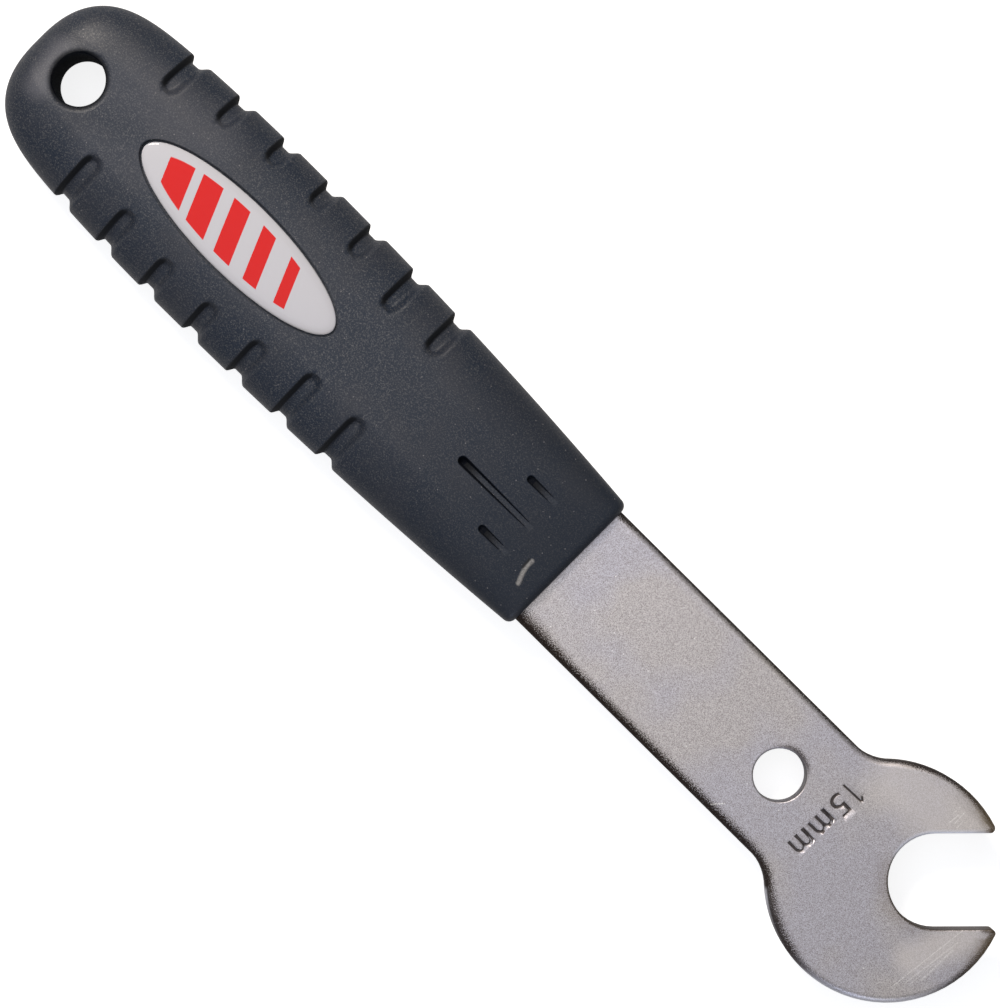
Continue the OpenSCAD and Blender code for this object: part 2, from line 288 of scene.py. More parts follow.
def plated_steel(settings):
    """Punched carbon steel, tumbled and bright plated: a satin metal with a fine mottle, a dark
    film and roughness where the punch tore its edges, with painted shade in that dark band and a
    painted pale reflection at the very edge, painted shade in the size mark, and a few polished
    hairlines."""
    material, tree = new_material("Plated punched steel")
    point = add_node(tree, "TexCoord").outputs["Object"]
    plan = add_node(tree, "Mapping", {"Vector": point, **PLAN})
    fine = add_node(tree, "TexNoise", {
        "Vector": point, "Scale": 1 / settings.grain, "Detail": 4, "Roughness": 0.8})
    coarse = add_node(tree, "TexNoise", {
        "Vector": point, "Scale": 1 / (settings.grain * 3.5), "Detail": 3, "Roughness": 0.7})
    # Drifts of tint in the plating, about 15 mm wide
    drift = add_node(tree, "TexNoise", {"Vector": point, "Scale": 1 / (15 * MM)})
    warm = add_node(tree, "MapRange", {
        "Value": drift, "From Min": 0.4, "From Max": 0.6, "To Max": 0.75})
    # The grain's hollows are darker
    hollow = add_node(tree, "MapRange", {
        "Value": fine, "From Min": 0.4, "From Max": 0.58, "To Min": 0.95, "To Max": 0})
    cloud = add_node(tree, "MapRange", {
        "Value": coarse, "From Min": 0.4, "From Max": 0.6, "To Min": 0.16, "To Max": 0})
    spots = specks(tree, point, spacing_mm=1.6, size_mm=0.16, share=0.22)
    bright = add_node(tree, "Math", {0: spots, 1: 0.7}, operation="MULTIPLY")
    # Bands of dark film and painted shade along the edges, whose darkness changes with the edge's
    # direction: how deep they reach and how dark they are is painted on the mesh
    inset, dark, band, reflection_fringe, brown, mark_shade = (
        add_node(tree, "Attribute", attribute_name=name).outputs["Fac"]
        for name in PAINTED)
    # The film's edge is torn in specks of about 0.17 mm
    noise = add_node(tree, "TexNoise", {
        "Vector": point, "Scale": 1 / (0.17 * MM), "Roughness": 0.7})
    torn = add_node(tree, "Math", {0: noise, 1: 2.8, 2: -1.4}, operation="MULTIPLY_ADD")
    share = add_node(tree, "Math", {0: inset, 1: band}, operation="DIVIDE")
    depth = add_node(tree, "Math", {0: share, 1: torn}, operation="ADD")
    reach = add_node(tree, "MapRange", {
        "Value": depth, "From Min": 1.1, "From Max": 0.45}, interpolation_type="SMOOTHSTEP")
    film = add_node(tree, "Math", {0: reach, 1: dark}, operation="MULTIPLY")
    # A pale fringe, a painted reflection of the white surroundings, takes the film's place at the
    # very edge
    rim = add_node(tree, "MapRange", {"Value": inset, "From Min": 0.32, "From Max": 0.12})
    lip = add_node(tree, "Math", {0: rim, 1: reflection_fringe}, operation="MULTIPLY")
    kept = add_node(tree, "Math", {0: 1.0, 1: lip}, operation="SUBTRACT")
    film = add_node(tree, "Math", {0: film, 1: kept}, operation="MULTIPLY")
    # Painted shade in the size mark's recess, painted on the mesh
    painted_shade = add_node(tree, "MapRange", {"Value": mark_shade, "From Min": 0.5, "To Max": 0.85})
    film = add_node(tree, "Math", {0: film, 1: painted_shade}, operation="MAXIMUM", use_clamp=True)
    # Painted reflection: a pale bluish line just inside the edge, where the fringe is painted
    near = add_node(tree, "MapRange", {
        "Value": inset, "From Min": 0.7, "From Max": 0.1, "To Max": 0.5})
    pale_reflection = add_node(tree, "Math", {0: near, 1: reflection_fringe}, operation="MULTIPLY")
    patchy = add_node(tree, "MapRange", {
        "Value": torn, "From Min": -1.2, "From Max": 0.6, "To Min": 1, "To Max": 0.55})
    stain = add_node(tree, "Math", {0: brown, 1: patchy}, operation="MULTIPLY")
    broken = add_node(tree, "MapRange", {"Value": fine, "From Min": 0.3, "From Max": 0.6})
    marks = add_node(tree, "Math", {0: strongest(tree, plan, SCRATCHES), 1: broken},
                     operation="MULTIPLY")
    base = settings.steel
    for share, tint in (
            (warm, settings.warm_steel), (hollow, linear("#8B8584")), (cloud, linear("#8E8584")),
            (bright, linear("#F2F0EC")), (strongest(tree, plan, WORN), linear("#DCD3CA")),
            (pale_reflection, linear("#DCE2F0")), (film, settings.film_and_shade), (stain, settings.tip),
            (marks, linear("#F7F4EE"))):
        base = add_node(tree, "Mix", {0: share, 6: base, 7: tint}, data_type="RGBA")
    satin = add_node(tree, "MapRange", {
        "Value": fine, "From Min": 0.3, "From Max": 0.7, "To Min": 0.5, "To Max": 0.38})
    rough = add_node(tree, "Math", {0: film, 1: 0.2, 2: satin}, operation="MULTIPLY_ADD")
    pits = add_node(tree, "Math", {0: torn, 1: 0.6}, operation="MULTIPLY")
    relief = add_node(tree, "Math", {0: film, 1: pits, 2: fine}, operation="MULTIPLY_ADD")
    bump = add_node(tree, "Bump", {"Height": relief, "Strength": 0.35, "Distance": 0.02 * MM})
    shader = add_node(tree, "BsdfPrincipled", {
        "Base Color": base, "Metallic": 1.0, "Roughness": rough, "Normal": bump})
    add_node(tree, "OutputMaterial", {"Surface": shader})
    return material


# A dent in the grip near the blade, whose wall that catches the light is drawn as a pale scuff, a
# painted highlight: the points of its curve and its half width
SCUFF_HIGHLIGHT = ((-3.75, -7.6), (-4.15, -6.6), (-4.5, -5.6), (-4.7, -4.6), (-4.65, -3.6))
SCUFF_HIGHLIGHT_HALF = 0.5
# Painted shade in the dent beside it, as a dark mark: start, end, half width and strength
DENT_SHADE = (((-5.15, -3.7), (-5.05, -5.3), 0.3, 0.9),)
# Painted highlights: paler places where the lamps' sheen falls on the rounded butt and on the face
# near it, given in the same way
PAINTED_SHEEN = (
    ((-113.2, -5.0), (-114.6, 1.2), 3.4, 0.5),
    ((-103.0, 5.0), (-88.0, 8.0), 7.0, 0.18),
    ((-100.0, -6.0), (-92.0, -2.0), 5.0, 0.12),
)


def eroded_grain(tree, settings):
    """Grain that a spark-eroded mould leaves: where it is read, its height and its bump."""
    point = add_node(tree, "TexCoord").outputs["Object"]
    fine = add_node(tree, "TexNoise", {
        "Vector": point, "Scale": 1 / settings.grain, "Detail": 3, "Roughness": 0.75})
    bump = add_node(tree, "Bump", {
        "Height": fine, "Strength": 0.5, "Distance": 0.04 * MM})
    return point, fine, bump


def moulded_plastic(settings):
    """Thermoplastic rubber moulded in a spark-eroded tool: nearly black, matte, with a fine grain
    whose tops catch the light and a few pale dust specks, with painted sheen near the butt and
    painted shade towards the blade, in the hollows and at a dent."""
    material, tree = new_material("Moulded grip plastic")
    point, fine, bump = eroded_grain(tree, settings)
    plan = add_node(tree, "Mapping", {"Vector": point, **PLAN})
    tops = add_node(tree, "MapRange", {"Value": fine, "From Min": 0.5, "From Max": 0.72})
    # Slow drifts of tone, about 9 mm wide
    drift = add_node(tree, "TexNoise", {"Vector": point, "Scale": 1 / (9 * MM)})
    cloud = add_node(tree, "MapRange", {
        "Value": drift, "From Min": 0.4, "From Max": 0.62, "To Max": 0.3})
    # Painted shade: the plastic is darker towards the blade, where less of the lamps' light falls
    along = add_node(tree, "SeparateXYZ", {0: plan}).outputs["X"]
    front_shade = add_node(tree, "MapRange", {
        "Value": along, "From Min": -45, "From Max": 0, "To Max": 0.7})
    spots = specks(tree, point, spacing_mm=1.1, size_mm=0.13, share=0.3)
    dust = add_node(tree, "Math", {0: spots, 1: 0.55}, operation="MULTIPLY")
    # The scuff's painted highlight and the dent's painted shade lie on the face only
    height = add_node(tree, "SeparateXYZ", {0: point}).outputs["Z"]
    face = add_node(tree, "MapRange", {
        "Value": height, "From Min": MID_Z, "From Max": MID_Z + MM})
    scuff_highlight = strongest(tree, plan, [(*ends, SCUFF_HIGHLIGHT_HALF, 1) for ends in zip(SCUFF_HIGHLIGHT, SCUFF_HIGHLIGHT[1:])])
    broken = add_node(tree, "MapRange", {
        "Value": fine, "From Min": 0.3, "From Max": 0.55, "To Min": 0.35, "To Max": 0.85})
    scuff_highlight = add_node(tree, "Math", {0: scuff_highlight, 1: broken}, operation="MULTIPLY")
    scuff_highlight = add_node(tree, "Math", {0: scuff_highlight, 1: face}, operation="MULTIPLY")
    dark = add_node(tree, "Math", {0: strongest(tree, plan, DENT_SHADE), 1: face},
                    operation="MULTIPLY")
    # Painted shade on the steep walls of the notches, in the mouth of the bore and along the slots'
    # floors, painted on the mesh
    painted_shade = add_node(tree, "Attribute", attribute_name="painted_shade").outputs["Fac"]
    base = settings.plastic
    for share, tint in (
            (tops, settings.grain_tone), (cloud, linear("#3A3A3F")),
            # Painted sheen near the butt, then painted shade towards the blade
            (strongest(tree, plan, PAINTED_SHEEN), linear("#61626A")), (front_shade, linear("#08121F")),
            (dust, linear("#A09C9C")), (scuff_highlight, linear("#A3A19E")), (dark, linear("#06070A")),
            (painted_shade, linear("#06090E"))):
        base = add_node(tree, "Mix", {0: share, 6: base, 7: tint}, data_type="RGBA")
    satin = add_node(tree, "MapRange", {
        "Value": fine, "From Min": 0.3, "From Max": 0.7, "To Min": 0.54, "To Max": 0.4})
    rough = add_node(tree, "Math", {0: painted_shade, 1: 0.45, 2: satin}, operation="MULTIPLY_ADD",
                     use_clamp=True)
    shader = add_node(tree, "BsdfPrincipled", {
        "Base Color": base, "Roughness": rough, "Specular IOR Level": 0.4, "Normal": bump})
    add_node(tree, "OutputMaterial", {"Surface": shader})
    return material


def shaded_plastic(settings):
    """A nearly black copy of the same plastic, rough and with little gloss, for the walls of the
    bore and the slots: painted shade.
    """
    material, tree = new_material("Moulded grip plastic of the hollows")
    _, fine, bump = eroded_grain(tree, settings)
    tops = add_node(tree, "MapRange", {
        "Value": fine, "From Min": 0.5, "From Max": 0.74, "To Max": 0.12})
    base = add_node(tree, "Mix", {0: tops, 6: linear("#0A0E16"), 7: settings.grain_tone},
                    data_type="RGBA")
    shader = add_node(tree, "BsdfPrincipled", {
        "Base Color": base, "Roughness": 0.8, "Specular IOR Level": 0.08, "Normal": bump})
    add_node(tree, "OutputMaterial", {"Surface": shader})
    return material


def in_slot(place):
    """Start of the front slot that holds a point below the grip's face, or None."""
    if crown_h(place.x) - place.z < SLOT_LIP:
        return None
    for y, start in SLOTS:
        if -start - 0.2 < place.x < -SLOT_RUNOUT - 1 and abs(place.y - y) < 1.1:
            return start
    return None


def in_hollow(centre, normal):
    """Whether a face of the grip, in millimetres, is a wall of its bore or of its slots."""
    if math.hypot(centre.x - HANG_X, centre.y) < HANG_R + 0.15 and abs(normal.z) < 0.6:
        return True
    start = in_slot(centre)
    return start is not None and (normal.z < 0.93 or centre.x < 1.3 - start)


def painted_shade_at(place, normal):
    """How much painted shade a point of the grip gets: all on the steep wall of a notch and in the
    mouth of the bore, and less and less along a slot's floor."""
    bore = 1 - ease(math.hypot(place.x - HANG_X, place.y), HANG_R + 0.1, HANG_R + 1.0)
    start = in_slot(place)
    slot = 0.0 if start is None else 1 - ease(place.x + start, 1.3, 5.5)
    nearest = min(NOTCH_COUNT - 1, max(0, round((-place.x - NOTCH_FIRST) / NOTCH_PITCH)))
    aside = place.x + NOTCH_FIRST + NOTCH_PITCH * nearest
    steep = abs(aside + 0.75) < 1.55 and abs(place.y) > NOTCH_INNER - 1
    return max(bore, slot, ease(normal.x, 0.2, 0.62) if steep else 0.0)


def domed_label(settings):
    """Printed polyester film under poured clear resin: flat print with a hard, mirror-like coat."""
    material, tree = new_material("Domed printed label")
    point = add_node(tree, "TexCoord").outputs["Object"]
    place = add_node(tree, "Mapping", {
        "Vector": point, "Location": (-(BADGE_X + FRONT_X / MM), 0, 0), "Scale": (1 / MM,) * 3})
    axes = add_node(tree, "SeparateXYZ", {0: place})
    # Five leaning bars, narrower from bar to bar, inside a smaller oval
    bars, pitch, lean, widest, narrowing = 5, 6.4, 0.42, 0.74, 0.1
    leaned = add_node(tree, "Math", {0: axes.outputs["Y"], 1: lean, 2: axes.outputs["X"]},
                      operation="MULTIPLY_ADD")
    step = add_node(tree, "Math", {0: leaned, 1: 1 / pitch, 2: bars / 2},
                    operation="MULTIPLY_ADD")
    count = add_node(tree, "Math", {0: step}, operation="FLOOR")
    share = add_node(tree, "Math", {0: step, 1: count}, operation="SUBTRACT")
    wide = add_node(tree, "Math", {0: count, 1: -narrowing, 2: widest},
                    operation="MULTIPLY_ADD")
    left = add_node(tree, "Math", {0: wide, 1: share}, operation="SUBTRACT")
    bar = add_node(tree, "MapRange", {"Value": left, "From Min": -0.006, "From Max": 0.006})
    first = add_node(tree, "Math", {0: count, 1: -0.5}, operation="GREATER_THAN")
    last = add_node(tree, "Math", {0: count, 1: bars - 0.5}, operation="LESS_THAN")
    oval = add_node(tree, "VectorMath", {
        0: place, 1: (2 / (BADGE_L * 0.86), 2 / (BADGE_W * 0.72), 0)}, operation="MULTIPLY")
    out = add_node(tree, "VectorMath", {0: oval}, operation="LENGTH")
    inside = add_node(tree, "MapRange", {
        "Value": out.outputs["Value"], "From Min": 1.01, "From Max": 0.99})
    for limit in (first, last, inside):
        bar = add_node(tree, "Math", {0: bar, 1: limit}, operation="MULTIPLY")
    base = add_node(tree, "Mix", {0: bar, 6: settings.film, 7: settings.ink}, data_type="RGBA")
    # The print lies under resin, so only the coat mirrors
    shader = add_node(tree, "BsdfPrincipled", {
        "Base Color": base, "Roughness": 0.6, "Specular IOR Level": 0.0,
        "Coat Weight": 0.7, "Coat IOR": 1.38, "Coat Roughness": 0.06})
    add_node(tree, "OutputMaterial", {"Surface": shader})
    return material


def applied(piece, mesh_name):
    """Replace a piece's mesh with what its modifiers make of it."""
    graph = bpy.context.evaluated_depsgraph_get()
    made = bpy.data.meshes.new_from_object(
        piece.evaluated_get(graph), preserve_all_data_layers=True, depsgraph=graph)
    piece.modifiers.clear()
    old = piece.data
    piece.data = made
    bpy.data.meshes.remove(old)
    made.name = mesh_name


def linked(name, bm):
    """A new object that holds the bmesh."""
    mesh = bpy.data.meshes.new(name)
    bm.to_mesh(mesh)
    bm.free()
    piece = bpy.data.objects.new(name, mesh)
    bpy.context.scene.collection.objects.link(piece)
    return piece


def cut_away(piece, *cutters, crossing=False):
    """Cut bmeshes out of the piece. Where they cross each other, crossing is said."""
    whole = bmesh.new()
    for bm in cutters:
        shell = bpy.data.meshes.new("shell")
        bm.to_mesh(shell)
        bm.free()
        whole.from_mesh(shell)
        bpy.data.meshes.remove(shell)
    tool = linked("tool", whole)
    step = piece.modifiers.new("cut", "BOOLEAN")
    step.operation = "DIFFERENCE"
    step.solver = "EXACT"
    step.use_self = crossing
    step.object = tool
    applied(piece, piece.name)
    bpy.data.objects.remove(tool)


def finish_piece(piece, material, node):
    """Give a piece its material and its body, and hide the CAD node that it stands for."""
    piece.data.materials.clear()
    piece.data.materials.append(material)
    for face in piece.data.polygons:
        face.material_index = 0
    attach(piece, "root")
    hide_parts(node)


def shade(piece, angle):
    """Smooth shading with hard edges past an angle, and flat faces kept flat up to their rims."""
    for face in piece.data.polygons:
        face.use_smooth = True
    piece.data.set_sharp_from_angle(angle=math.radians(angle))
    weighted = piece.modifiers.new("normals", "WEIGHTED_NORMAL")
    weighted.keep_sharp = True
    applied(piece, piece.name)


# Size mark: figure, its span along the blade and across it, and a slight turn in degrees.
# The built-in font's 1 is a plain bar, so a second short bar is its flag.
STAMP = (
    ("1", (55.6, 60.0), (5.85, 6.4), 2.0),
    ("1", (58.9, 60.1), (6.3, 6.8), -42.0),
    ("5", (55.6, 59.8), (2.2, 4.7), -1.5),
    ("m", (55.9, 59.0), (-2.5, 1.3), 1.0),
    ("m", (55.8, 58.9), (-6.9, -3.2), -1.0),
)
STAMP_DRAFT = 0.15
# The punch leaned over, so the walls at the figures' tops slope more gently
STAMP_SHEAR = 0.38
# How far the built-in font's strokes are made bolder, in its own units
STAMP_BOLD = 0.02
# Where the mark lies: its span along the blade, and half its span across it
STAMP_SPAN = (55, 60.5)
STAMP_HALF = 7.6


def figure_cutter(figure, along, across, turn, settings):
    """Punch for one figure of the size mark, with drafted sides and a floor that leans."""
    curve = bpy.data.curves.new("figure", "FONT")
    curve.body = figure
    curve.offset = STAMP_BOLD
    flat = bpy.data.objects.new("figure", curve)
    bpy.context.scene.collection.objects.link(flat)
    graph = bpy.context.evaluated_depsgraph_get()
    mesh = bpy.data.meshes.new_from_object(flat.evaluated_get(graph))
    bm = bmesh.new()
    bm.from_mesh(mesh)
    bpy.data.objects.remove(flat)
    bpy.data.curves.remove(curve)
    bpy.data.meshes.remove(mesh)
    bmesh.ops.remove_doubles(bm, verts=bm.verts, dist=MERGE)
    # The line of figures runs towards -Y, and their tops point to +X
    low = Vector((min(v.co.x for v in bm.verts), min(v.co.y for v in bm.verts), 0))
    high = Vector((max(v.co.x for v in bm.verts), max(v.co.y for v in bm.verts), 0))
    size = high - low
    for v in bm.verts:
        share = v.co - low
        v.co = Vector((along[0] + share.y / size.y * (along[1] - along[0]),
                       across[1] - share.x / size.x * (across[1] - across[0]), 0))
    bmesh.ops.recalc_face_normals(bm, faces=bm.faces)
    if sum(f.normal.z for f in bm.faces) > 0:
        bmesh.ops.reverse_faces(bm, faces=bm.faces)
    floor = list(bm.faces)
    grown = bmesh.ops.extrude_face_region(bm, geom=floor, use_keep_orig=True)
    roof = [v for v in grown["geom"] if isinstance(v, bmesh.types.BMVert)]
    bmesh.ops.translate(bm, verts=roof, vec=(0, 0, 1))
    bmesh.ops.recalc_face_normals(bm, faces=bm.faces)
    floor = [f for f in bm.faces if all(abs(v.co.z) < 1e-6 for v in f.verts)]
    bmesh.ops.inset_region(bm, faces=floor, thickness=STAMP_DRAFT, depth=0, use_even_offset=True)
    shares = {v: 0.0 for f in floor if f.is_valid for v in f.verts}
    for v in shares:
        # The inset can throw a sharp corner out of the figure, so it is held inside
        v.co.x = min(along[1] - STAMP_DRAFT / 2, max(along[0] + STAMP_DRAFT / 2, v.co.x))
        v.co.y = min(across[1] - STAMP_DRAFT / 2, max(across[0] + STAMP_DRAFT / 2, v.co.y))
        shares[v] = (v.co.x - along[0]) / (along[1] - along[0])
        v.co.z -= (settings.stamp_depth + settings.stamp_lean * shares[v]) / MM
    middle = Vector((sum(along) / 2, sum(across) / 2, 0))
    bmesh.ops.rotate(bm, verts=bm.verts, cent=middle,
                     matrix=Matrix.Rotation(math.radians(turn), 3, "Z"))
    for v, share in shares.items():
        v.co.x -= STAMP_SHEAR * share
    bmesh.ops.translate(bm, verts=bm.verts, vec=(0, 0, BLADE_TOP + 0.002))
    return bm


# Edge tones of the outside of the head: direction, darkness of the dark film and painted shade,
# width, pale fringe of painted reflection and brown film
HEAD_TONES = (
    (-180, 0.9, 1.0, 0, 0), (-138, 0.9, 1.3, 0.6, 0), (-128, 0.85, 1.9, 1, 0),
    (-117, 0.9, 1.9, 0.5, 0), (-100, 0.92, 1.7, 0, 0), (-92, 0.8, 1.3, 0.2, 0),
    (-82, 0.4, 1.3, 1, 0), (-60, 0.12, 1.0, 1, 0), (-30, 0.1, 0.5, 1, 0), (-20, 0.6, 0.6, 0.3, 0),
    (-8, 0.9, 1.0, 0, 0.1), (4, 0.75, 1.1, 0, 0.6), (12, 0.7, 0.7, 0, 1), (20, 0.7, 0.5, 0, 1),
    (40, 0.7, 0.45, 0, 0.9), (68, 0.7, 0.45, 0, 1), (76, 0.8, 0.6, 0, 1), (86, 0.9, 0.85, 0, 0.4),
    (100, 0.95, 0.85, 0, 0), (120, 0.95, 0.9, 0, 0), (133, 0.9, 0.45, 0, 0), (180, 0.9, 0.45, 0, 0),
)
# The same round the mouth, by the angle about its round end, from its upper flat to its lower one
MOUTH_TONES = (
    (0, 0.1, 0.3, 1, 0), (140, 0.1, 0.3, 1, 0), (155, 0.6, 0.28, 0, 0.2), (180, 0.8, 0.34, 0, 0.4),
    (215, 0.85, 0.4, 0, 0.3), (250, 0.85, 0.4, 0, 0.15), (275, 0.75, 0.26, 0, 0),
    (300, 0.7, 0.22, 0, 0), (360, 0.7, 0.22, 0, 0),
)
# And round the shank's hole
HOLE_TONES = (
    (-180, 0.15, 0.3, 0.1, 0), (30, 0.15, 0.4, 0.1, 0), (60, 0.7, 0.9, 0.3, 0),
    (90, 0.9, 1.1, 0.3, 0), (118, 0.7, 1.0, 0.3, 0), (150, 0.2, 0.6, 0.1, 0),
    (180, 0.15, 0.3, 0.1, 0),
)


def tone_at(tones, angle):
    """Edge tones at an angle, between the nearest two rows of a table."""
    for low, high in zip(tones, tones[1:]):
        if angle <= high[0]:
            share = (angle - low[0]) / (high[0] - low[0])
            return [a + (b - a) * share for a, b in zip(low[1:], high[1:])]
    return list(tones[-1][1:])


def edge_tone(x, y):
    """Inset from the nearest edge of the blade, and the tones of that edge."""
    cut_y = SHANK_HALF + FILLET_R
    cut_x = HEAD_X - math.sqrt((HEAD_R + FILLET_R) ** 2 - cut_y ** 2)
    to_head = Vector((HEAD_X - cut_x, -cut_y))
    offset = Vector((x - cut_x, abs(y) - cut_y))
    away = Vector((x - HEAD_X, y))
    if x < cut_x:
        inset = SHANK_HALF - abs(y)
        if y > 0:
            tones = [0.96, 0.6 + 0.5 * max(0, 1 - x / 5), 0, 0]
        else:
            tones = [0.98, 1.7 + 0.9 * max(0, 1 - x / 12), 0, 0]
    elif offset.y < 0 and offset.x * -to_head.y < to_head.x * -offset.y:
        inset = offset.length - FILLET_R
        tones = [0.92, 0.5, 0, 0] if y > 0 else [0.96, 1.5, 0, 0]
    else:
        inset = HEAD_R - away.length
        tones = tone_at(HEAD_TONES, math.degrees(math.atan2(away.y, away.x)))
    along = away.x * math.cos(MOUTH_TURN) + away.y * math.sin(MOUTH_TURN) - MOUTH_SET
    beside = away.y * math.cos(MOUTH_TURN) - away.x * math.sin(MOUTH_TURN)
    mouth = (abs(beside) if along > 0 else math.hypot(along, beside)) - MOUTH_HALF
    if mouth < inset:
        inset = mouth
        dark, band, reflection_fringe, brown = tone_at(
            MOUTH_TONES, math.degrees(math.atan2(beside, along)) % 360)
        # The flats get darker and browner towards the tips
        tip = min(1, max(0, (along - 7.0) / 2))
        tones = [max(dark, 0.85 * tip), max(band, 1.3 * tip), reflection_fringe * (1 - tip),
                 max(brown, 0.6 * tip)]
    hole = math.hypot(x - HOLE_X, y) - HOLE_R
    if hole < inset:
        inset, tones = hole, tone_at(HOLE_TONES, math.degrees(math.atan2(y, x - HOLE_X)))
    return [max(0, inset), *tones]


def paint_blade(piece):
    """Paint the edge tones and the painted shade in the size mark's recess on the blade's points.
    """
    for name in PAINTED:
        piece.data.attributes.new(name, "FLOAT", "POINT")
    layers = [piece.data.attributes[name].data for name in PAINTED]
    for v in piece.data.vertices:
        x, y, z = v.co
        inset, dark, band, reflection_fringe, brown = edge_tone(x, y)
        # The brown film fades out from 1 to 2.4 mm inside the edge
        brown *= min(1, max(0, (2.4 - inset) / 1.4))
        in_mark = (STAMP_SPAN[0] < x < STAMP_SPAN[1] and abs(y) < STAMP_HALF
                   and 0 < z < BLADE_TOP - 0.04)
        for layer, value in zip(layers, (inset, dark, band, reflection_fringe, brown, float(in_mark))):
            layer[v.index].value = value


def side_w(x):
    if x > -WIDEST_AT:
        return GRIP_HALF - (GRIP_HALF - FRONT_HALF) * ((x + WIDEST_AT) / WIDEST_AT) ** SIDE_POWER
    return GRIP_HALF - (x + WIDEST_AT) ** 2 / (2 * REAR_BOW_R)


def crown_h(x):
    return GRIP_RISE - (GRIP_RISE - FRONT_RISE) * (max(0, x + RAMP_L) / RAMP_L) ** RAMP_POWER


def end_share(x):
    return min(1, max(0, -x - GRIP_L + END_L) / END_L)


def nose_cut(x):
    share = min(1, max(0, x + NOSE_R) / NOSE_R)
    return NOSE_R * (1 - math.sqrt(1 - share * share))


def half_w(x):
    return side_w(x) * (1 - end_share(x) ** END_POWER) ** (1 / END_ROOT) - nose_cut(x)


def half_h(x):
    return crown_h(x) * math.sqrt(1 - end_share(x) ** END_SIDE_POWER) - nose_cut(x)


def squareness(x):
    return MID_SQUARE + (FRONT_SQUARE - MID_SQUARE) * (max(0, x + SQUARE_L) / SQUARE_L) ** 2


def ease(value, low, high):
    """0 below low, 1 above high, and a smooth curve between them."""
    share = min(1, max(0, (value - low) / (high - low)))
    return share * share * (3 - 2 * share)


def notch_sink(x, y, settings):
    """Depth of the nearest finger notch: a steep wall on the butt's side, a level floor and a
    gentle run-out to the front, with a round inner end."""
    nearest = min(NOTCH_COUNT - 1, max(0, round((-x - NOTCH_FIRST) / NOTCH_PITCH)))
    centre = -NOTCH_FIRST - NOTCH_PITCH * nearest
    half = settings.notch_width / MM / 2
    along = (centre - BADGE_X) / (BADGE_L / 2 + 2 * BADGE_MARGIN)
    inner = max(NOTCH_INNER, (BADGE_W / 2 + BADGE_MARGIN) * math.sqrt(max(0, 1 - along * along)))
    inner += NOTCH_SKEW if y > 0 else -NOTCH_SKEW
    aside = x - centre
    off = math.hypot(aside, max(0, inner + half - abs(y)))
    if off > half + 0.2:
        return 0.0
    front = ease(aside / max(off, 1e-6), 0, 1)
    share = off / half
    steep = 1 - ease(share, settings.notch_floor_back, 1.02)
    gentle = 1 - ease(share, settings.notch_floor_front, 1.1)
    return settings.notch_depth / MM * (steep + (gentle - steep) * front)


QUARTER_TOP = 12
QUARTER_SIDE = 24


def quarter_angles(x):
    """Angles of the section's points from the side to the middle of the face, evenly spread."""
    n = squareness(x)
    w = max(half_w(x), 1e-3)
    h = max(half_h(x), 1e-3)
    crease = math.asin(CROWN ** (-n / 2))
    steps = 40
    walked = [0.0]
    last = Vector((w, 0))
    fine = [crease * i / steps for i in range(steps + 1)]
    for a in fine[1:]:
        here = Vector((w * math.cos(a) ** (2 / n), CROWN * h * math.sin(a) ** (2 / n)))
        walked.append(walked[-1] + (here - last).length)
        last = here
    angles = []
    k = 0
    for i in range(QUARTER_SIDE):
        goal = walked[-1] * i / QUARTER_SIDE
        while walked[k + 1] < goal:
            k += 1
        share = (goal - walked[k]) / (walked[k + 1] - walked[k])
        angles.append(fine[k] + (fine[k + 1] - fine[k]) * share)
    # On the flat panel the points are evenly spread across it
    for i in range(QUARTER_TOP + 1):
        share = math.cos(crease) ** (2 / n) * (1 - i / QUARTER_TOP)
        angles.append(math.acos(share ** (n / 2)))
    return angles


def skin_point(x, a, settings):
    """Point of the grip's skin at x, in the direction a round the section."""
    w, h, n = half_w(x), half_h(x), squareness(x)
    c, s = math.cos(a), math.sin(a)
    y = math.copysign(w * abs(c) ** (2 / n), c)
    full_z = math.copysign(CROWN * h * abs(s) ** (2 / n), s)
    if min(w, h) < 1e-3:
        return Vector((x, y, full_z))
    if abs(full_z) >= h - 1e-6:
        z, lean, rise = math.copysign(h, s), 0.0, math.copysign(1, s)
    else:
        z = full_z
        lean = math.copysign(abs(c) ** (2 - 2 / n) / w, c)
        rise = math.copysign(abs(s) ** (2 - 2 / n) / (CROWN * h), s)
    sink = notch_sink(x, y, settings) / math.hypot(lean, rise)
    return Vector((x, y - lean * sink, z - rise * sink))


def ring_places():
    """Places of the grip's rings along X: close over the nose, the notches and the rounded end."""
    nose_rings, ramp_pitch, notch_pitch, end_rings = 7, 0.5, 0.21, 44
    notch_start = NOTCH_FIRST - NOTCH_MARGIN
    notch_end = NOTCH_FIRST + NOTCH_PITCH * (NOTCH_COUNT - 1) + NOTCH_MARGIN
    places = [-NOSE_R * (1 - math.cos(math.radians(90 * i / nose_rings)))
              for i in range(nose_rings)]
    for start, end, pitch in ((NOSE_R, notch_start, ramp_pitch),
                              (notch_start, notch_end, notch_pitch)):
        count = round((end - start) / pitch)
        places += [-start - (end - start) * i / count for i in range(count)]
    places += [-notch_end - (GRIP_L - notch_end) * math.sin(math.radians(90 * i / end_rings))
               for i in range(end_rings + 1)]
    return places


